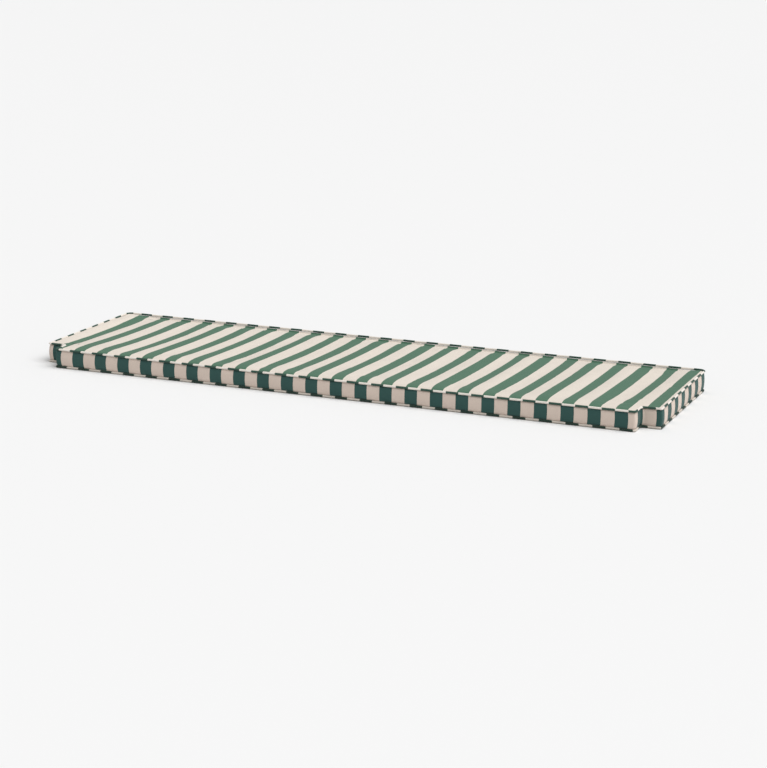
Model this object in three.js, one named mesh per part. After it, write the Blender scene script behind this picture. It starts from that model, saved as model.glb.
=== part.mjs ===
// Boxed seat cushion: a filled pad whose top rolls up from its front seam and falls gently towards
// the back, with a flat underside, a boxing strip round its sides, a thin piping in each seam, and
// a notch in both front corners.
// Millimetres. +X runs along the cushion, +Y to its back and +Z up, from the underside's centre.
import * as THREE from "three";

// Driving dimensions
const LENGTH = 1508; // over the boxing of both ends
const DEPTH = 441; // over the boxing of front and back
const NOTCH_WIDTH = 46; // along X, at each front corner
const NOTCH_DEPTH = 46; // along Y
const RIM_HEIGHT = 50.3; // of the top behind its front seam
const LOWEST_HEIGHT = 42; // of the top in its sat-in part
const BACK_HEIGHT = 43.7; // of the top before its back seam
const PIPING_DIAMETER = 5;
const FRONT_PIPING_HEIGHT = 42.3; // centre line of the top piping, at the middle of the front
const CORNER_PIPING_HEIGHT = 45; // the same at the front corners
const BACK_PIPING_HEIGHT = 48.3; // the same along the back
const BOTTOM_PIPING_HEIGHT = 3.2; // centre line of the piping in the bottom seam
const BOXING_THICKNESS = 2;
const BOXING_BULGE = 2; // how far the boxing swells out between its seams
const GAP = 0.35; // between neighbouring pieces
const DRAW_IN = 1; // how far each side is pulled in at its middle
const FRONT_CORNER_RADIUS = 5;
const NOTCH_RADIUS = 8;
const END_CORNER_RADIUS = 14;
const ROLL_LENGTH = 8; // the top climbs from the front seam to its rim over a few of these
const ROLL_LENGTH_BACK = 4; // and from the back seam down over a few of these
const BACK_SEAM_DROP = 1.8; // the top meets the back piping this far under its centre line
const DISH_PLACE = 318; // the top is lowest this far behind the front seam
const DISH_CURVE = 1.8; // how quickly it falls at first
const END_REACH = 90; // the top comes level with its piping over this length at both ends
const VALLEY_DEPTH = 4.5; // of a hollow inside the left end
const VALLEY_PLACE = -716;
const RIM_WIDTH = 30; // band along the edges that follows the outline
const FLAT_INSET = 12; // where the underside leaves the surface it lies on

// How finely the surfaces are divided
const COLUMN_PITCH = 24; // along the pad's long edges
const COLUMN_PITCH_TRIM = 240; // along the long edges of boxing and piping
const ROW_PITCH = 46; // along the pad's ends
const ROW_PITCH_TRIM = 130;
const CORNER_STEPS = 4;
const PIPING_SIDES = 8;
const BOXING_STEPS = 4;
const SHARPEST_RADIUS = 2;
const RIM_INSETS = [3.6, 6, 11, 18, RIM_WIDTH];
const MIDDLE_STEPS = [0.35, 0.7]; // from the rim band's inner edge to the pad's long axis

// Soft swells and hollows that run from front to back over the top: the place of each along the
// cushion, and how far its middle stands over or under the rest
const SWELLS = [
  { x: -630, rise: 0.8 },
  { x: -520, rise: -1.2 },
  { x: -480, rise: 1.6 },
  { x: -275, rise: -1.8 },
  { x: -212, rise: 1.5 },
  { x: -175, rise: -1.2 },
  { x: -95, rise: -1.6 },
  { x: -55, rise: 1.4 },
  { x: 20, rise: 1.2 },
  { x: 150, rise: 1.4 },
  { x: 190, rise: -0.9 },
  { x: 240, rise: 1.3 },
  { x: 288, rise: -1.5 },
  { x: 332, rise: 1.4 },
  { x: 395, rise: -1.6 },
  { x: 450, rise: -1 },
  { x: 500, rise: 1.7 },
  { x: 600, rise: 0.9 },
  { x: 645, rise: -1.8 },
];
const SWELL_WIDTH = 24;
const SWELL_SLANT = 0.03; // swells lean a little along X towards the back

// Seam outline, inside the boxing's bulge
const SEAM_X = LENGTH / 2 - BOXING_BULGE;
const SEAM_Y = DEPTH / 2 - BOXING_BULGE;
const NOTCH_X = SEAM_X - NOTCH_WIDTH;
const NOTCH_Y = -SEAM_Y + NOTCH_DEPTH;
const SPINE_X = SEAM_X - SEAM_Y; // the pad's long axis ends this far from its centre
const PIPING_RADIUS = PIPING_DIAMETER / 2;
const BOXING_BOTTOM = BOTTOM_PIPING_HEIGHT + PIPING_RADIUS + GAP;

// The outline's corners, anticlockwise seen from above
const CORNERS = [
  { x: NOTCH_X, y: -SEAM_Y, radius: FRONT_CORNER_RADIUS, convex: true },
  { x: NOTCH_X, y: NOTCH_Y, radius: NOTCH_RADIUS, convex: false },
  { x: SEAM_X, y: NOTCH_Y, radius: FRONT_CORNER_RADIUS, convex: true },
  { x: SEAM_X, y: SEAM_Y, radius: END_CORNER_RADIUS, convex: true },
  { x: -SEAM_X, y: SEAM_Y, radius: END_CORNER_RADIUS, convex: true },
  { x: -SEAM_X, y: NOTCH_Y, radius: FRONT_CORNER_RADIUS, convex: true },
  { x: -NOTCH_X, y: NOTCH_Y, radius: NOTCH_RADIUS, convex: false },
  { x: -NOTCH_X, y: -SEAM_Y, radius: FRONT_CORNER_RADIUS, convex: true },
];

const cloth = (color) => new THREE.MeshStandardMaterial({ color, roughness: 0.95, metalness: 0 });
const cream = 0xe8ded2;
const green = 0x5c8770;

// One corner's arc on the outline moved inwards by inset
function cornerArc(index, inset) {
  const corner = CORNERS[index];
  const before = CORNERS.at(index - 1);
  const after = CORNERS[(index + 1) % CORNERS.length];
  const point = new THREE.Vector2(
    corner.x - Math.sign(corner.x) * inset,
    corner.y - Math.sign(corner.y) * inset,
  );
  const arriving = new THREE.Vector2(corner.x - before.x, corner.y - before.y).normalize();
  const leaving = new THREE.Vector2(after.x - corner.x, after.y - corner.y).normalize();
  const radius = corner.convex
    ? Math.max(corner.radius - inset, SHARPEST_RADIUS)
    : corner.radius + inset;
  const centre = point.clone().addScaledVector(arriving, -radius).addScaledVector(leaving, radius);
  const arc = [];
  for (let step = 0; step <= CORNER_STEPS; step++) {
    const angle = (step / CORNER_STEPS) * (Math.PI / 2);
    arc.push(
      centre
        .clone()
        .addScaledVector(leaving, -radius * Math.cos(angle))
        .addScaledVector(arriving, radius * Math.sin(angle)),
    );
  }
  return arc;
}

// Points between two corners, at whole multiples of pitch, so that front and back edges match
function straightPoints(index, inset, columnPitch, rowPitch) {
  const corner = CORNERS[index];
  const after = CORNERS[(index + 1) % CORNERS.length];
  const alongX = corner.y === after.y;
  const axis = alongX ? "x" : "y";
  const pitch = alongX ? columnPitch : rowPitch;
  const clear = RIM_WIDTH + SHARPEST_RADIUS + 1;
  const low = Math.min(corner[axis], after[axis]) + clear;
  const high = Math.max(corner[axis], after[axis]) - clear;
  const points = [];
  for (let n = Math.ceil(low / pitch); n * pitch <= high; n++) {
    points.push(
      alongX
        ? new THREE.Vector2(n * pitch, corner.y - Math.sign(corner.y) * inset)
        : new THREE.Vector2(corner.x - Math.sign(corner.x) * inset, n * pitch),
    );
  }
  return corner[axis] < after[axis] ? points : points.reverse();
}

// The outline moved inwards by inset, as one anticlockwise ring of flat points
function outline(inset, columnPitch, rowPitch) {
  return CORNERS.flatMap((corner, index) => [
    ...cornerArc(index, inset),
    ...straightPoints(index, inset, columnPitch, rowPitch),
  ]);
}

// A flat point lifted to a height, with the sides drawn in between the corners
function place(point, height) {
  const middleX = 1 - (point.x / SEAM_X) ** 2;
  const middleY = 1 - (point.y / SEAM_Y) ** 2;
  return new THREE.Vector3(
    point.x * (1 - (DRAW_IN / SEAM_X) * middleY),
    point.y * (1 - (DRAW_IN / SEAM_Y) * middleX),
    height,
  );
}

// Height of the top seam, the centre line of its piping
function topSeam(point) {
  const { lerp } = THREE.MathUtils;
  const front = lerp(FRONT_PIPING_HEIGHT, CORNER_PIPING_HEIGHT, (point.x / SEAM_X) ** 2);
  return lerp(front, BACK_PIPING_HEIGHT, (point.y + SEAM_Y) / (2 * SEAM_Y));
}

// A closed mesh over rings of equal length, stacked up its outside. Points that meet are shared,
// so a ring that has closed on a line or a point needs no cap.
function skin(rings, name, material, closesOnItself) {
  const positions = [];
  const known = new Map();
  const indexOf = (vertex) => {
    const key = vertex.toArray().map((value) => Math.round(value * 1000)).join();
    if (!known.has(key)) {
      known.set(key, known.size);
      positions.push(...vertex.toArray());
    }
    return known.get(key);
  };
  const indices = rings.map((ring) => ring.map(indexOf));
  const faces = [];
  const addFace = (a, b, c) => {
    if (a !== b && b !== c && c !== a) faces.push(a, b, c);
  };
  const lastRing = closesOnItself ? rings.length : rings.length - 1;
  for (let level = 0; level < lastRing; level++) {
    const lower = indices[level];
    const upper = indices[(level + 1) % rings.length];
    for (let n = 0; n < lower.length; n++) {
      const next = (n + 1) % lower.length;
      addFace(lower[n], lower[next], upper[n]);
      addFace(lower[next], upper[next], upper[n]);
    }
  }
  const geometry = new THREE.BufferGeometry();
  geometry.setAttribute("position", new THREE.Float32BufferAttribute(positions, 3));
  geometry.setIndex(faces);
  geometry.computeVertexNormals();
  const mesh = new THREE.Mesh(geometry, material);
  mesh.name = name;
  return mesh;
}

// Shares of the boxing's height at which the sides are divided, from the bottom seam to the top one
const SIDE_SHARES = Array.from({ length: BOXING_STEPS + 1 }, (_, step) => step / BOXING_STEPS);

function sideHeight(point, share) {
  const boxingTop = topSeam(point) - PIPING_RADIUS - GAP;
  return THREE.MathUtils.lerp(BOXING_BOTTOM, boxingTop, share);
}

// How far the boxing stands out of the seam line at a share of its height
function bulge(share) {
  return BOXING_BULGE * 4 * share * (1 - share);
}

// Height of the top away from its seams, without its swells
function topLevel(point) {
  const { lerp, smoothstep } = THREE.MathUtils;
  const fromFront = point.y + SEAM_Y;
  const beyond = Math.max(fromFront - DISH_PLACE, 0) / (2 * SEAM_Y - DISH_PLACE);
  const before = Math.max(1 - fromFront / DISH_PLACE, 0);
  const level =
    LOWEST_HEIGHT +
    (RIM_HEIGHT - LOWEST_HEIGHT) * before ** DISH_CURVE +
    (BACK_HEIGHT - LOWEST_HEIGHT) * beyond ** 2;
  const toEnd = SEAM_X - Math.abs(point.x);
  return lerp(topSeam(point), level, smoothstep(toEnd, 0, END_REACH));
}

// Height at which the top meets its piping
function topEdge(point) {
  const toBack = THREE.MathUtils.smoothstep(point.y, SEAM_Y - END_REACH, SEAM_Y);
  return topSeam(point) - BACK_SEAM_DROP * toBack;
}

// Height of the top over a flat point that lies inset from the seam
function topHeight(point, inset) {
  const { lerp, smoothstep } = THREE.MathUtils;
  const toBack = smoothstep(point.y, SEAM_Y - END_REACH, SEAM_Y);
  const rollLength = lerp(ROLL_LENGTH, ROLL_LENGTH_BACK, toBack);
  const roll = 1 - Math.exp((PIPING_RADIUS - inset) / rollLength);
  const x = point.x - SWELL_SLANT * point.y;
  const swells = SWELLS.reduce(
    (sum, { x: middle, rise }) => sum + rise * Math.exp(-(((x - middle) / SWELL_WIDTH) ** 2)),
    -VALLEY_DEPTH * Math.exp(-(((x - VALLEY_PLACE) / SWELL_WIDTH) ** 2)),
  );
  const fade = smoothstep(inset, 4, 1.5 * RIM_WIDTH);
  return lerp(topEdge(point), topLevel(point), roll) + fade * swells;
}

// The filled pad with its top and bottom panels
function cushionBody() {
  const ring = (inset, heightOf) =>
    outline(inset, COLUMN_PITCH, ROW_PITCH).map((point) => place(point, heightOf(point)));
  const spinePoint = (point) =>
    new THREE.Vector2(THREE.MathUtils.clamp(point.x, -SPINE_X, SPINE_X), 0);
  const besidePiping = PIPING_RADIUS + 2 * GAP;
  const underBoxing = BOXING_THICKNESS + GAP;

  const rings = [
    outline(FLAT_INSET, COLUMN_PITCH, ROW_PITCH).map((point) => place(spinePoint(point), 0)),
    ring(FLAT_INSET, () => 0),
    ring(FLAT_INSET / 2, () => BOTTOM_PIPING_HEIGHT / 4),
    ring(besidePiping, () => BOTTOM_PIPING_HEIGHT),
  ];
  for (const share of SIDE_SHARES) {
    rings.push(ring(underBoxing - bulge(share), (point) => sideHeight(point, share)));
  }
  rings.push(ring(besidePiping, topEdge));
  for (const inset of RIM_INSETS) rings.push(ring(inset, (point) => topHeight(point, inset)));
  const innerRim = outline(RIM_WIDTH, COLUMN_PITCH, ROW_PITCH);
  for (const share of [...MIDDLE_STEPS, 1]) {
    rings.push(
      innerRim.map((point) => {
        const moved = point.clone().lerp(spinePoint(point), share);
        return place(moved, topHeight(moved, RIM_WIDTH + share * (SEAM_Y - RIM_WIDTH)));
      }),
    );
  }
  return skin(rings, "cushion_body", cloth(cream), false);
}

// A ring for each point of a section, which is given outwards from the seam line and as a height
// over each flat point
function sweptTrim(section, name, material) {
  const rings = section.map(({ out, heightOf }) =>
    outline(-out, COLUMN_PITCH_TRIM, ROW_PITCH_TRIM).map((point) => place(point, heightOf(point))),
  );
  return skin(rings, name, material, true);
}

function boxingStrip() {
  const outer = SIDE_SHARES.map((share) => ({
    out: bulge(share),
    heightOf: (point) => sideHeight(point, share),
  }));
  const inner = outer.map(({ out, heightOf }) => ({ out: out - BOXING_THICKNESS, heightOf }));
  return sweptTrim([...outer, ...inner.reverse()], "boxing_strip", cloth(green));
}

function piping(name, seamOf) {
  const section = Array.from({ length: PIPING_SIDES }, (_, side) => {
    const angle = ((side + 0.5) / PIPING_SIDES - 0.25) * 2 * Math.PI;
    return {
      out: PIPING_RADIUS * Math.cos(angle),
      heightOf: (point) => seamOf(point) + PIPING_RADIUS * Math.sin(angle),
    };
  });
  return sweptTrim(section, name, cloth(cream));
}

const cushion = new THREE.Group();
cushion.add(
  cushionBody(),
  boxingStrip(),
  piping("piping_top", topSeam),
  piping("piping_bottom", () => BOTTOM_PIPING_HEIGHT),
);

export default cushion;
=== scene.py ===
# A boxed bench cushion in striped canvas: a filled pad, a boxing strip round its sides, and a thin
# piping in its top and bottom seams. Metres, +X along the cushion, +Y to its back, +Z up.
import math

import bmesh
import bpy
import numpy as np
from mathutils import Matrix, Vector


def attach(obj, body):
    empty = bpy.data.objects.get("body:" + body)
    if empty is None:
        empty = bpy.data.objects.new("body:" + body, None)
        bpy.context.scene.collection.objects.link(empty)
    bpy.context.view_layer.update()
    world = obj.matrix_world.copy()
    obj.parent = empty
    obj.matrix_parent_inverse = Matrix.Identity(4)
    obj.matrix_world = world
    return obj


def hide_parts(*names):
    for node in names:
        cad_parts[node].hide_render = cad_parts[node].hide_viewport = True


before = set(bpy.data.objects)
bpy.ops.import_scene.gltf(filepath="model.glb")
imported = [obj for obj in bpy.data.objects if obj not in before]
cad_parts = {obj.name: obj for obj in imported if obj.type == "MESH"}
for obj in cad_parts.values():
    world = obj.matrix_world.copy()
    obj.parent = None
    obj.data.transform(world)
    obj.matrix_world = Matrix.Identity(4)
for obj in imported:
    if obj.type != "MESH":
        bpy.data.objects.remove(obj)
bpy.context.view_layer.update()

# The camera, at the photograph's angle and distance
CAMERA_PLACE = (1.79745, -4.37543, 1.11482)
CAMERA_YAW = 21.859  # degrees from +Y towards -X
CAMERA_PITCH = 13.420  # degrees down
CAMERA_ROLL = 0.853
FOCAL_LENGTH_PX = 2075.2
IMAGE_SIDE_PX = 768
SENSOR_WIDTH_MM = 36.0

# The cushion's sizes
BULGE = 0.002
SEAM_X = 0.752
SEAM_Y = 0.2185
NOTCH_X = SEAM_X - 0.046
NOTCH_Y = -SEAM_Y + 0.046
DRAW_IN = 0.001
FRONT_RADIUS = 0.005
NOTCH_RADIUS = 0.008
END_RADIUS = 0.014
PIPING_RADIUS = 0.0025
BOTTOM_SEAM = 0.0032
FRONT_SEAM = 0.0423  # the top seam's height at the middle of the front
CORNER_SEAM = 0.045
BACK_SEAM = 0.0483
BOXING_THICKNESS = 0.002
GAP = 0.00035
BOXING_BOTTOM = BOTTOM_SEAM + PIPING_RADIUS + GAP

# The top's form
RIM_HEIGHT = 0.0499
LOWEST_HEIGHT = 0.0417
BACK_HEIGHT = 0.0436
ROLL_LENGTH = 0.008  # the top climbs from its front seam over a few of these
ROLL_LENGTH_BACK = 0.0007
BACK_SEAM_DROP = 0.0026
BACK_TROUGH = 0.0018  # how far the top sinks right before the back seam
BACK_TROUGH_INSET = 0.006
BACK_TROUGH_WIDTH = 0.009
DISH_PLACE = 0.318
DISH_CURVE = 1.8
END_REACH = 0.090
BACK_REACH = 0.090
VALLEY_PLACE = -0.716
VALLEY_DEPTH = 0.0045
SWELL_WIDTH = 0.024
SWELL_SLANT = 0.03
SWELL_FADE = (0.004, 0.045)  # how far inside the seam the swells start and are whole
GATHER_RISE = 0.0006
GATHER_INSET = 0.007
GATHER_LENGTHS = (0.017, 0.0235, 0.031, 0.053)
# Soft swells that run from front to back: the place along X and the height of each
SWELLS = [
    (-0.630, 0.0008),
    (-0.520, -0.0012),
    (-0.480, 0.0016),
    (-0.275, -0.0018),
    (-0.212, 0.0015),
    (-0.175, -0.0012),
    (-0.095, -0.0016),
    (-0.055, 0.0014),
    (0.020, 0.0012),
    (0.150, 0.0014),
    (0.190, -0.0009),
    (0.240, 0.0013),
    (0.288, -0.0015),
    (0.332, 0.0014),
    (0.395, -0.0016),
    (0.450, -0.0010),
    (0.500, 0.0017),
    (0.600, 0.0009),
    (0.645, -0.0018),
]
# How far the stripes are pulled sideways: the place along X and the pull at each
PULLS = [
    (-0.630, 0.0006), (-0.570, 0.0010), (-0.540, -0.0009), (-0.510, -0.0019), (-0.480, 0.0025),
    (-0.450, 0.0009), (-0.330, 0.0018), (-0.300, -0.0004), (-0.270, -0.0017), (-0.210, 0.0030),
    (-0.180, -0.0012), (-0.150, 0.0009), (-0.090, -0.0032), (-0.060, 0.0032), (0.030, 0.0026),
    (0.150, 0.0025), (0.180, -0.0021), (0.240, 0.0015), (0.270, -0.0014), (0.300, -0.0016),
    (0.330, 0.0018), (0.390, -0.0025), (0.450, -0.0017), (0.480, 0.0012), (0.510, 0.0017),
    (0.540, -0.0013), (0.600, 0.0008), (0.630, -0.0018), (0.660, -0.0035),
]
PULL_WIDTH = 0.020
PULL_STARTS_IN_FRONT = (0.03, 0.15)  # how far from the front seam the pull starts and is whole
PULL_STARTS_BEHIND = (0.0, 0.06)
END_PULL = 0.005  # how far it is pulled towards the right end
END_PULL_PLACE = (0.69, 0.745)
JOIN_X = 0.010  # where the trims are joined, behind
BACK_LAG = 0.006  # how far the back piping's stripes lie beside the panel's

# How the filling presses the top panel's cloth out
CLOTH_STEPS = 20
CLOTH_GROWTH = 0.002
PRESSURE = 0.3
STIFFNESS = 60
HELD_INSET = 0.0045  # the cloth is held this far in from its seams
FREE_INSET = 0.04  # from here on its folds keep their whole height
FOLD_LIMIT = 0.0012
CELL = 0.060  # waves in the cloth much longer than this count as its broad form

# The cloth
STRIPE_PITCH = 0.060
TRIM_GREEN = 0.495  # share of each repeat that is green
PANEL_GREEN = 0.455
PANEL_SHIFT = 0.0012
YARN = 0.0008
# The same canvas takes another colour on each piece. The top's green is lighter than the boxing's:
# a painted sheen, for the pale gleam of the top seen at a low angle.
GREEN_WITH_SHEEN_ON_TOP = (0.0885, 0.187, 0.1235)
CREAM_ON_TOP = (0.80, 0.725, 0.64)
# The boxing's colours are darker and warmer than the top's: painted shade on its sides, which face
# away from the overhead light, and a painted warm bounce light.
SHADED_GREEN_ON_BOXING = (0.040, 0.101, 0.091)
SHADED_WARM_CREAM_ON_BOXING = (0.755, 0.632, 0.545)
# The top piping's green is darker and its cream lighter than the panel's: painted shade under the
# cord and a painted highlight on its upper half.
SHADED_GREEN_ON_PIPING = (0.045, 0.095, 0.072)
LIT_CREAM_ON_PIPING = (0.88, 0.82, 0.75)
# The bottom piping's colours are darker again: painted shade beneath the cushion's bottom edge.
GREEN_SHADED_BELOW = (0.030, 0.055, 0.042)  # on the bottom piping
CREAM_SHADED_BELOW = (0.66, 0.60, 0.53)
# The cloth is darker between its yarns: painted shade in the weave's hollows.
WEAVE_SHADE = 0.10  # how much darker the cloth is between its yarns
SLUB_SHADE = 0.16
CLOUD_SHADE = 0.10
# The pipings' cloth is cut from other lengths than the boxing, so its stripes run at another rate
TOP_PIPING_RATE = 1.018
TOP_PIPING_START = 0.018
BOTTOM_PIPING_RATE = 1.003
BOTTOM_PIPING_START = 0.0468

# How uneven the trims are
BOXING_WAVE = 0.0006
BOXING_WAVE_LENGTHS = (0.071, 0.113, 0.19)
BOXING_WAVE_SLANT = 0.02
BOXING_GATHER = 0.0003
BOXING_GATHER_LENGTHS = (0.013, 0.019, 0.029)
BOXING_GATHER_REACH = 0.18  # share of the boxing's height
PIPING_THINNING = 0.03  # share of its radius
PIPING_THINNING_LENGTHS = (0.011, 0.019, 0.043)
PIPING_DRIFT = 0.0002
PIPING_DRIFT_LENGTHS = (0.09, 0.15, 0.31)

# How finely the meshes are divided
BAND = 0.024  # width of the edge band whose rings follow the outline
PANEL_PITCH = 0.006
BAND_INSETS = (0.0034, 0.0038, 0.0044, 0.0054, 0.0070, 0.0092, 0.0120, 0.0155, 0.0195, BAND)
CORNER_STEPS = 6
BOXING_STEPS = 8
PAD_SIDE_STEPS = 4
PIPING_SIDES = 12
# Inset and height of the rings from the flat underside to beside the bottom piping
UNDERSIDE_RINGS = (
    (BAND, 0.0),
    (0.012, 0.0),
    (0.006, 0.0008),
    (PIPING_RADIUS + 2 * GAP, BOTTOM_SEAM),
)

# Light and floor
SUN_STRENGTH = 2.45
SUN_ANGLE = 55  # degrees that it is wide, which keeps the shadows soft
SUN_FROM = (0.5, -0.03, 0.85)
SKY_STRENGTH = 0.42
FLOOR_REACH = 60.0
FLOOR_TONE = 0.86

# The outline's corners, anticlockwise seen from above: place and radius
CORNERS = [
    (NOTCH_X, -SEAM_Y, FRONT_RADIUS),
    (NOTCH_X, NOTCH_Y, NOTCH_RADIUS),
    (SEAM_X, NOTCH_Y, FRONT_RADIUS),
    (SEAM_X, SEAM_Y, END_RADIUS),
    (-SEAM_X, SEAM_Y, END_RADIUS),
    (-SEAM_X, NOTCH_Y, FRONT_RADIUS),
    (-NOTCH_X, NOTCH_Y, NOTCH_RADIUS),
    (-NOTCH_X, -SEAM_Y, FRONT_RADIUS),
]


def smooth(value, low, high):
    share = np.clip((value - low) / (high - low), 0, 1)
    return share * share * (3 - 2 * share)


def wander(at, lengths, seed):
    """A smooth wavering value of about -1 to 1 along a distance, made of a few waves."""
    waves = [
        np.sin(2 * math.pi * at / length + seed * 1.7 + order * 2.3)
        for order, length in enumerate(lengths)
    ]
    return sum(waves) / len(waves)


# The outline as rings of flat points
def inner_corner(index, inset=BAND):
    x, y, _ = CORNERS[index % len(CORNERS)]
    return np.array([x, y]) - inset * np.sign([x, y])


# Which corner of the list each of these edges starts from
NOTCH_SIDE, NOTCH_BACK, RIGHT_END, FRONT = 0, 1, 2, 7
EDGE_STEPS = [
    max(1, round(float(np.abs(inner_corner(index + 1) - inner_corner(index)).sum()) / PANEL_PITCH))
    for index in range(len(CORNERS))
]


def corner_arc(index, inset):
    corner = inner_corner(index, inset)
    arriving = inner_corner(index, 0) - inner_corner(index - 1, 0)
    leaving = inner_corner(index + 1, 0) - inner_corner(index, 0)
    arriving /= np.linalg.norm(arriving)
    leaving /= np.linalg.norm(leaving)
    radius = CORNERS[index % len(CORNERS)][2] * (1 - inset / BAND)
    angles = np.linspace(0, math.pi / 2, CORNER_STEPS + 1)[:, None]
    centre = corner - radius * arriving + radius * leaving
    return centre - radius * np.cos(angles) * leaving + radius * np.sin(angles) * arriving


def outline(inset):
    """The outline moved inwards by inset, as one anticlockwise ring from the front right corner."""
    arcs = [corner_arc(index, inset) for index in range(len(CORNERS))]
    pieces = []
    for index, arc in enumerate(arcs):
        following = arcs[(index + 1) % len(arcs)]
        shares = np.arange(1, EDGE_STEPS[index])[:, None] / EDGE_STEPS[index]
        pieces += [arc, arc[-1] + shares * (following[0] - arc[-1])]
    return np.concatenate(pieces)


SEAM_RING = outline(0.0)
STEP_LENGTHS = np.linalg.norm(np.roll(SEAM_RING, -1, axis=0) - SEAM_RING, axis=1)


def seam_distances():
    """How far each point of the ring lies along the seam from the front's middle, positive to the
    right. The count starts again beside the back's middle, where the strips are joined."""
    distance = np.concatenate([[0], np.cumsum(STEP_LENGTHS)[:-1]]) + NOTCH_X - FRONT_RADIUS
    join = distance[(SEAM_RING[:, 1] > 0) & (SEAM_RING[:, 0] < JOIN_X)].min()
    return np.where(distance >= join, distance - STEP_LENGTHS.sum(), distance)


ALONG = seam_distances()


def drawn_in(points):
    """Flat points with the sides drawn in between the corners."""
    x, y = points[:, 0], points[:, 1]
    in_x = 1 - DRAW_IN / SEAM_X * (1 - (y / SEAM_Y) ** 2)
    in_y = 1 - DRAW_IN / SEAM_Y * (1 - (x / SEAM_X) ** 2)
    return np.stack([x * in_x, y * in_y], axis=1)


def lifted(points, heights):
    flat = drawn_in(points)
    return np.column_stack([flat, np.broadcast_to(heights, len(flat))])


# The form of the top panel
def blend(low, high, share):
    return low + (high - low) * share


def top_seam(flat):
    """Height of the top seam, the centre line of its piping, over flat points."""
    front = blend(FRONT_SEAM, CORNER_SEAM, (flat[:, 0] / SEAM_X) ** 2)
    return blend(front, BACK_SEAM, (flat[:, 1] + SEAM_Y) / (2 * SEAM_Y))


def relief_at(flat):
    """The swells and the valley, which run from front to back at a slight slant."""
    place = flat[:, 0] - SWELL_SLANT * flat[:, 1]
    ridges = [*SWELLS, (VALLEY_PLACE, -VALLEY_DEPTH)]
    return sum(rise * np.exp(-(((place - middle) / SWELL_WIDTH) ** 2)) for middle, rise in ridges)


def top_level(flat):
    """Height of the top away from its seams: it falls from its rim into a broad low dish."""
    behind = flat[:, 1] + SEAM_Y
    before = np.clip(1 - behind / DISH_PLACE, 0, None)
    beyond = np.clip(behind - DISH_PLACE, 0, None) / (2 * SEAM_Y - DISH_PLACE)
    level = (
        LOWEST_HEIGHT
        + (RIM_HEIGHT - LOWEST_HEIGHT) * before**DISH_CURVE
        + (BACK_HEIGHT - LOWEST_HEIGHT) * beyond**2
    )
    before_trough = SEAM_Y - BACK_TROUGH_INSET - flat[:, 1]
    level = level - BACK_TROUGH * np.exp(-((before_trough / BACK_TROUGH_WIDTH) ** 2))
    return blend(top_seam(flat), level, smooth(SEAM_X - np.abs(flat[:, 0]), 0, END_REACH))


def top_edge(flat):
    """Height at which the top meets its piping, lower down at the back."""
    return top_seam(flat) - BACK_SEAM_DROP * smooth(flat[:, 1], SEAM_Y - BACK_REACH, SEAM_Y)


def swell_fade(inset):
    return smooth(inset, *SWELL_FADE)


def gathers(along, inset):
    """Small gathers that run in from the seam and die out."""
    near_seam = np.exp(-(((inset - GATHER_INSET) / GATHER_INSET) ** 2))
    return GATHER_RISE * wander(along, GATHER_LENGTHS, 1.0) * near_seam


def top_height(flat, inset):
    to_back = smooth(flat[:, 1], SEAM_Y - BACK_REACH, SEAM_Y)
    roll = 1 - np.exp((PIPING_RADIUS - inset) / blend(ROLL_LENGTH, ROLL_LENGTH_BACK, to_back))
    form = blend(top_edge(flat), top_level(flat), roll)
    return form + swell_fade(inset) * relief_at(flat)


def distance_inside(points):
    """How far flat points lie inside the outline, for points further in than its corners' arcs."""
    x, y = np.abs(points[:, 0]), points[:, 1]
    to_box = np.minimum(np.minimum(SEAM_X - x, SEAM_Y - y), y + SEAM_Y)
    out_x, out_y = NOTCH_X - x, y - NOTCH_Y
    to_notch = np.where((out_x > 0) & (out_y > 0), np.hypot(out_x, out_y), np.maximum(out_x, out_y))
    return np.minimum(to_box, to_notch)


# Meshes
class Sheet:
    """Points, faces and a cloth coordinate for each face corner, gathered piece by piece."""

    def __init__(self):
        self.points, self.faces, self.cloth = [], [], []

    def add(self, points, faces, cloth):
        first = len(self.points)
        self.points += points.tolist()
        self.faces += [[first + corner for corner in face] for face in faces]
        self.cloth += cloth

    def add_rings(self, rings, cloths):
        """Skins rings of equal length, lower to upper, with a cloth coordinate for each point."""
        count = len(rings[0])
        points = np.concatenate(rings)
        cloth_of = np.concatenate(cloths)
        faces = []
        for level in range(len(rings) - 1):
            low, high = level * count, (level + 1) * count
            for n in range(count):
                after = (n + 1) % count
                faces.append([low + n, low + after, high + after, high + n])
        self.add(points, faces, [tuple(cloth_of[corner]) for face in faces for corner in face])

    def make(self, name):
        mesh = bpy.data.meshes.new(name)
        mesh.from_pydata(self.points, [], self.faces)
        layer = mesh.uv_layers.new(name="cloth")
        layer.data.foreach_set("uv", np.asarray(self.cloth, np.float32).ravel())
        work = bmesh.new()
        work.from_mesh(mesh)
        bmesh.ops.remove_doubles(work, verts=work.verts, dist=2e-6)
        work.to_mesh(mesh)
        work.free()
        mesh.shade_smooth()
        made = bpy.data.objects.new(name, mesh)
        bpy.context.scene.collection.objects.link(made)
        return made


def run_of_seam():
    """Where each step of the ring starts and ends along the seam."""
    return ALONG, ALONG + STEP_LENGTHS


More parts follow.
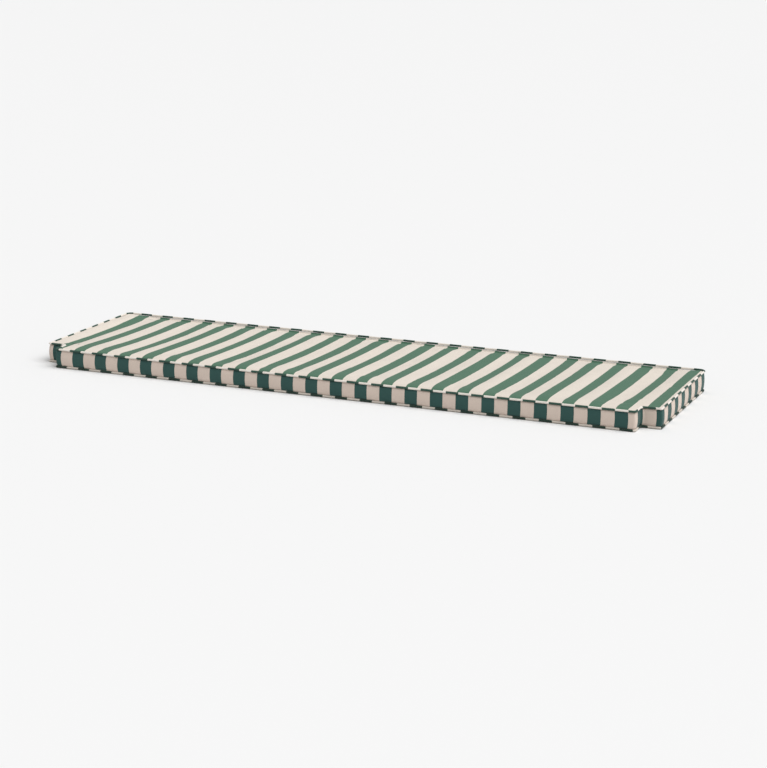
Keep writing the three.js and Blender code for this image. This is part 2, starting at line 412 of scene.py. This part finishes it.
def swept(section, name, laid):
    """A closed trim along the seam. The section is given outwards from the seam line and up: each
    point holds arrays or numbers for how far out it stands and its height. Laid gives the cloth's
    own coordinate at both ends of each step."""
    rings = []
    for out, height in section:
        shift = np.broadcast_to(out, len(SEAM_RING))[:, None]
        rings.append(lifted(SEAM_RING + shift * OUTWARDS, height))
    rises = [np.linalg.norm(b - a, axis=1).mean() for a, b in zip(rings, rings[1:] + rings[:1])]
    across = np.cumsum([0.0] + rises)
    count, levels = len(SEAM_RING), len(section)
    faces, cloth = [], []
    for level in range(levels):
        low, high = level * count, (level + 1) % levels * count
        for n, (start, end) in enumerate(zip(*laid)):
            after = (n + 1) % count
            faces.append([low + n, low + after, high + after, high + n])
            near, far = across[level], across[level + 1]
            cloth += [(start, near), (end, near), (end, far), (start, far)]
    sheet = Sheet()
    sheet.add(np.concatenate(rings), faces, cloth)
    return sheet.make(name)


# The seam ring's outward direction, from a ring a millimetre further out
OUTWARDS = (outline(-0.001) - SEAM_RING) / 0.001


def panel_grid():
    """The middle of a panel as flat points over the notched outline inside the band, and quads."""
    shoulder = inner_corner(1)
    end = inner_corner(3)
    ear = EDGE_STEPS[NOTCH_BACK]
    ear_columns = np.linspace(shoulder[0], end[0], ear + 1)[1:]
    columns = np.concatenate(
        [
            -ear_columns[::-1],
            np.linspace(-shoulder[0], shoulder[0], EDGE_STEPS[FRONT] + 1),
            ear_columns,
        ]
    )
    rows = np.concatenate(
        [
            np.linspace(inner_corner(0)[1], shoulder[1], EDGE_STEPS[NOTCH_SIDE] + 1)[:-1],
            np.linspace(shoulder[1], end[1], EDGE_STEPS[RIGHT_END] + 1),
        ]
    )
    kept = {}
    points = []
    for j, y in enumerate(rows):
        for i, x in enumerate(columns):
            if j >= EDGE_STEPS[NOTCH_SIDE] or ear <= i < len(columns) - ear:
                kept[i, j] = len(points)
                points.append((x, y))
    quads = []
    for i, j in kept:
        around = [(i, j), (i + 1, j), (i + 1, j + 1), (i, j + 1)]
        if all(corner in kept for corner in around):
            quads.append([kept[corner] for corner in around])
    return np.array(points), quads


def pull_at(flat):
    """How far the cloth is pulled along X, less and less towards the seams in front and behind."""
    place = flat[:, 0]
    pulls = sum(pull * np.exp(-(((place - middle) / PULL_WIDTH) ** 2)) for middle, pull in PULLS)
    in_front = smooth(flat[:, 1] + SEAM_Y, *PULL_STARTS_IN_FRONT)
    behind = smooth(SEAM_Y - flat[:, 1], *PULL_STARTS_BEHIND)
    return pulls * in_front * behind + END_PULL * smooth(place, *END_PULL_PLACE)


def panel_cloth(flat):
    """The cloth's own coordinates on a panel."""
    return np.column_stack([flat[:, 0] + pull_at(flat) - PANEL_SHIFT, flat[:, 1]])


def side_out(share):
    """How far the boxing stands out of the seam line at a share of its height."""
    return BULGE * 4 * share * (1 - share)


def side_height(flat, share):
    return blend(BOXING_BOTTOM, top_seam(flat) - PIPING_RADIUS - GAP, share)


def make_pad():
    """The filled pad: top and bottom panels, and the sides that the boxing covers."""
    sheet = Sheet()
    rings, cloths = [], []

    def add(flat, heights):
        rings.append(lifted(flat, heights))
        cloths.append(panel_cloth(flat))

    for inset, height in UNDERSIDE_RINGS:
        add(outline(inset), height)
    for share in np.linspace(0, 1, PAD_SIDE_STEPS + 1):
        flat = outline(BOXING_THICKNESS + GAP - side_out(share))
        add(flat, side_height(flat, share))
    flat = outline(PIPING_RADIUS + 2 * GAP)
    add(flat, top_edge(flat))
    for inset in BAND_INSETS:
        flat = outline(inset)
        add(flat, top_height(flat, inset) + gathers(ALONG, inset))
    sheet.add_rings(rings, cloths)

    flat, quads = panel_grid()
    inset = distance_inside(flat)
    top_cloth = panel_cloth(flat)
    heights = top_height(flat, inset)
    sheet.add(lifted(flat, heights), quads, [tuple(top_cloth[c]) for quad in quads for c in quad])
    turned = [quad[::-1] for quad in quads]
    sheet.add(lifted(flat, 0.0), turned, [tuple(flat[c]) for quad in turned for c in quad])
    return sheet.make("cushion_pad")


def broad_mean(flat, values):
    """A smooth field through values at scattered flat points: their means around the corners of
    square cells, blended across each cell."""
    place = (flat + [SEAM_X, SEAM_Y]) / CELL
    low = np.floor(place).astype(int)
    part = place - low
    corners = []
    for i in (0, 1):
        for j in (0, 1):
            share = np.abs(1 - i - part[:, 0]) * np.abs(1 - j - part[:, 1])
            corners.append((low[:, 0] + i, low[:, 1] + j, share))
    total, weight = np.zeros(low.max(axis=0) + 2), np.zeros(low.max(axis=0) + 2)
    for i, j, share in corners:
        np.add.at(total, (i, j), share * values)
        np.add.at(weight, (i, j), share)
    mean = total / np.maximum(weight, 1e-9)
    return sum(share * mean[i, j] for i, j, share in corners)


def press_out(pad):
    """Simulates the top panel as cloth that the filling presses out, held at its seams. The pad has
    its broad form already, so only the folds that form in the cloth are kept."""
    mesh, scene = pad.data, bpy.context.scene
    start = np.empty((len(mesh.vertices), 3), np.float32)
    mesh.vertices.foreach_get("co", start.ravel())
    inset = distance_inside(start[:, :2])
    free = (inset > HELD_INSET) & (start[:, 2] > BACK_SEAM / 2)
    held = pad.vertex_groups.new(name="held")
    held.add(np.nonzero(~free)[0].tolist(), 1.0, "REPLACE")
    cloth = pad.modifiers.new("cloth", "CLOTH")
    settings = cloth.settings
    settings.vertex_group_mass = held.name
    settings.quality = 4
    settings.tension_stiffness = STIFFNESS
    settings.compression_stiffness = STIFFNESS
    settings.use_pressure = True
    settings.uniform_pressure_force = PRESSURE
    settings.shrink_min = -CLOTH_GROWTH
    settings.shrink_max = -CLOTH_GROWTH
    settings.effector_weights.gravity = 0
    cloth.collision_settings.use_collision = False
    cloth.point_cache.frame_end = CLOTH_STEPS
    for step in range(1, CLOTH_STEPS + 1):
        scene.frame_set(step)
    end = np.empty_like(start)
    pressed = pad.evaluated_get(bpy.context.evaluated_depsgraph_get()).data
    pressed.vertices.foreach_get("co", end.ravel())
    pad.modifiers.remove(cloth)
    pad.vertex_groups.remove(held)
    scene.frame_set(1)
    rise = (end - start)[free, 2]
    folds = (rise - broad_mean(start[free, :2], rise)) * smooth(inset[free], HELD_INSET, FREE_INSET)
    start[free, 2] += FOLD_LIMIT * np.tanh(folds / FOLD_LIMIT)
    mesh.vertices.foreach_set("co", start.ravel())
    mesh.update()


def make_boxing():
    """The striped strip round the sides, gathered a little along both seams."""
    section = []
    for share in np.linspace(0, 1, BOXING_STEPS + 1):
        to_seam = np.exp(-((min(share, 1 - share) / BOXING_GATHER_REACH) ** 2))
        slanted = ALONG + BOXING_WAVE_SLANT * share
        soft = BOXING_WAVE * wander(slanted, BOXING_WAVE_LENGTHS, 3.0)
        tight = BOXING_GATHER * wander(ALONG, BOXING_GATHER_LENGTHS, 5.0 + share) * to_seam
        out = side_out(share) + soft * 4 * share * (1 - share) + tight
        section.append((out, side_height(SEAM_RING, share)))
    for share in (1, 0):
        section.append((-BOXING_THICKNESS, side_height(SEAM_RING, share)))
    return swept(section, "boxing_strip_cloth", run_of_seam())


def make_piping(name, centre, seed, laid):
    """A thin cord wrapped in cloth, a little uneven along its length."""
    thinning = PIPING_THINNING * (1 - wander(ALONG, PIPING_THINNING_LENGTHS, seed))
    radius = PIPING_RADIUS * (1 - thinning)
    drift = PIPING_DRIFT * wander(ALONG, PIPING_DRIFT_LENGTHS, seed + 2)
    section = []
    for angle in np.linspace(-math.pi / 2, 3 * math.pi / 2, PIPING_SIDES + 1)[:-1]:
        section.append((radius * math.cos(angle), centre + drift + radius * math.sin(angle)))
    return swept(section, name, laid)


def piping_cloth(rate, start):
    """The cloth's coordinate along a piping, whose stripes drift past those of the boxing."""
    begin, end = run_of_seam()
    return rate * begin + start, rate * end + start


def back_piping_cloth(laid):
    """The same with the back's length laid to the panel's own stripes."""
    begin, end = laid
    following = np.roll(SEAM_RING, -1, axis=0)
    at_back = (SEAM_RING[:, 1] > SEAM_Y - 1e-6) & (following[:, 1] > SEAM_Y - 1e-6)
    start, stop = SEAM_RING[:, 0] - BACK_LAG, following[:, 0] - BACK_LAG
    return np.where(at_back, start, begin), np.where(at_back, stop, end)


# Materials
class Shader:
    """Short forms for building one material's nodes."""

    def __init__(self, name):
        self.material = bpy.data.materials.new(name)
        self.material.use_nodes = True
        self.tree = self.material.node_tree
        self.surface = self.tree.nodes["Principled BSDF"]

    def node(self, kind, inputs=(), **settings):
        made = self.tree.nodes.new(kind)
        for key, value in settings.items():
            setattr(made, key, value)
        for key, value in dict(inputs).items():
            self.put(made.inputs[key], value)
        return made

    def put(self, socket, value):
        if isinstance(value, bpy.types.NodeSocket):
            self.tree.links.new(value, socket)
        else:
            socket.default_value = value

    def math(self, operation, *values):
        return self.node("ShaderNodeMath", enumerate(values), operation=operation).outputs[0]

    def noise(self, vector, scale, detail=2.0):
        inputs = {"Vector": vector, "Scale": scale, "Detail": detail}
        return self.node("ShaderNodeTexNoise", inputs).outputs["Fac"]

    def mixed(self, share, first, second):
        made = self.node("ShaderNodeMix", {0: share}, data_type="RGBA")
        self.put(made.inputs["A"], first)
        self.put(made.inputs["B"], second)
        return made.outputs["Result"]


def canvas(name, green, cream, green_share):
    """Woven canvas in green and cream stripes across the cloth map's first coordinate."""
    shader = Shader(name)
    cloth = shader.node("ShaderNodeUVMap", uv_map="cloth").outputs[0]
    parted = shader.node("ShaderNodeSeparateXYZ", {0: cloth})
    across, length = parted.outputs[0], parted.outputs[1]
    repeat = shader.math("FRACT", shader.math("DIVIDE", across, STRIPE_PITCH))
    is_green = shader.math("LESS_THAN", repeat, green_share)

    yarns = []
    for at in (across, length):
        yarns.append(shader.math("SINE", shader.math("MULTIPLY", at, math.pi / YARN)))
    crossing = shader.math("ABSOLUTE", shader.math("MULTIPLY", *yarns))
    place = shader.node("ShaderNodeTexCoord").outputs["Object"]
    stretched = shader.node("ShaderNodeMapping", {0: place, "Scale": (900, 90, 300)}).outputs[0]
    slubs = shader.noise(stretched, 1.0)
    cloudy = shader.noise(place, 22.0, 3.0)
    # Painted shade between the yarns, then the yarns' own slubs and cloudy tone.
    tone = shader.math("MULTIPLY_ADD", crossing, WEAVE_SHADE, 1 - WEAVE_SHADE)
    for spread, shade in ((slubs, SLUB_SHADE), (cloudy, CLOUD_SHADE)):
        around_one = shader.math("MULTIPLY_ADD", spread, shade, 1 - shade / 2)
        tone = shader.math("MULTIPLY", tone, around_one)
    colour = shader.mixed(is_green, (*cream, 1), (*green, 1))
    tones = shader.node("ShaderNodeCombineXYZ", {0: tone, 1: tone, 2: tone}).outputs[0]
    toned = shader.node("ShaderNodeVectorMath", {0: colour, 1: tones}, operation="MULTIPLY")
    shader.put(shader.surface.inputs["Base Color"], toned.outputs[0])
    shader.surface.inputs["Roughness"].default_value = 0.92
    shader.surface.inputs["Specular IOR Level"].default_value = 0.2
    shader.surface.inputs["Sheen Weight"].default_value = 0.12
    shader.surface.inputs["Sheen Roughness"].default_value = 0.45
    bump = shader.node("ShaderNodeBump", {"Height": crossing, "Strength": 0.35, "Distance": 0.0003})
    shader.put(shader.surface.inputs["Normal"], bump.outputs[0])
    return shader.material


# Light, floor and camera
def make_camera():
    yaw, pitch, roll = (math.radians(v) for v in (CAMERA_YAW, CAMERA_PITCH, CAMERA_ROLL))
    ahead = Vector((-math.sin(yaw), math.cos(yaw), 0))
    forward = math.cos(pitch) * ahead - math.sin(pitch) * Vector((0, 0, 1))
    level = Vector((math.cos(yaw), math.sin(yaw), 0))
    up = level.cross(forward)
    right = math.cos(roll) * level + math.sin(roll) * up
    up = right.cross(forward)
    data = bpy.data.cameras.new("camera")
    data.sensor_width = SENSOR_WIDTH_MM
    data.lens = SENSOR_WIDTH_MM * FOCAL_LENGTH_PX / IMAGE_SIDE_PX
    data.clip_end = 200
    camera = bpy.data.objects.new("camera", data)
    axes = Matrix((right, up, -forward)).transposed().to_4x4()
    camera.matrix_world = Matrix.Translation(CAMERA_PLACE) @ axes
    bpy.context.scene.collection.objects.link(camera)
    bpy.context.scene.camera = camera


def make_light():
    data = bpy.data.lights.new("overhead", "SUN")
    data.energy = SUN_STRENGTH
    data.angle = math.radians(SUN_ANGLE)
    light = bpy.data.objects.new("overhead", data)
    light.rotation_mode = "QUATERNION"
    light.rotation_quaternion = Vector(SUN_FROM).to_track_quat("Z", "Y")
    bpy.context.scene.collection.objects.link(light)
    world = bpy.data.worlds.new("studio")
    world.use_nodes = True
    sky = world.node_tree.nodes["Background"]
    sky.inputs["Color"].default_value = (1, 1, 1, 1)
    sky.inputs["Strength"].default_value = SKY_STRENGTH
    bpy.context.scene.world = world


def make_floor():
    mesh = bpy.data.meshes.new("floor")
    sides = ((-1, -1), (1, -1), (1, 1), (-1, 1))
    corners = [(FLOOR_REACH * x, FLOOR_REACH * y, 0) for x, y in sides]
    mesh.from_pydata(corners, [], [(0, 1, 2, 3)])
    floor = bpy.data.objects.new("floor", mesh)
    shader = Shader("pale_floor")
    shader.surface.inputs["Base Color"].default_value = (FLOOR_TONE, FLOOR_TONE, FLOOR_TONE, 1)
    shader.surface.inputs["Roughness"].default_value = 0.9
    mesh.materials.append(shader.material)
    bpy.context.scene.collection.objects.link(floor)


make_camera()
make_light()
make_floor()

pad = make_pad()
press_out(pad)
# The top panel's green carries a painted sheen.
pad.data.materials.append(canvas("panel_canvas", GREEN_WITH_SHEEN_ON_TOP, CREAM_ON_TOP, PANEL_GREEN))
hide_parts("cushion_body")

boxing = make_boxing()
# The boxing's colours carry painted shade and a painted warm bounce light.
boxing.data.materials.append(canvas("boxing_canvas", SHADED_GREEN_ON_BOXING, SHADED_WARM_CREAM_ON_BOXING, TRIM_GREEN))
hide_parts("boxing_strip")

top_laid = back_piping_cloth(piping_cloth(TOP_PIPING_RATE, TOP_PIPING_START))
top_piping = make_piping("piping_top_cord", top_seam(SEAM_RING), 1.0, top_laid)
bottom_laid = piping_cloth(BOTTOM_PIPING_RATE, BOTTOM_PIPING_START)
bottom_piping = make_piping("piping_bottom_cord", BOTTOM_SEAM, 4.0, bottom_laid)
# The top piping's colours carry painted shade on the green and a painted highlight on the cream.
top_canvas = canvas("top_piping_canvas", SHADED_GREEN_ON_PIPING, LIT_CREAM_ON_PIPING, TRIM_GREEN)
top_piping.data.materials.append(top_canvas)
# The bottom piping's colours carry painted shade.
bottom_canvas = canvas("bottom_piping_canvas", GREEN_SHADED_BELOW, CREAM_SHADED_BELOW, TRIM_GREEN)
bottom_piping.data.materials.append(bottom_canvas)
for cord, node in ((top_piping, "piping_top"), (bottom_piping, "piping_bottom")):
    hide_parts(node)

for piece in (pad, boxing, top_piping, bottom_piping):
    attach(piece, "root")

bpy.context.scene.view_settings.view_transform = "Standard"
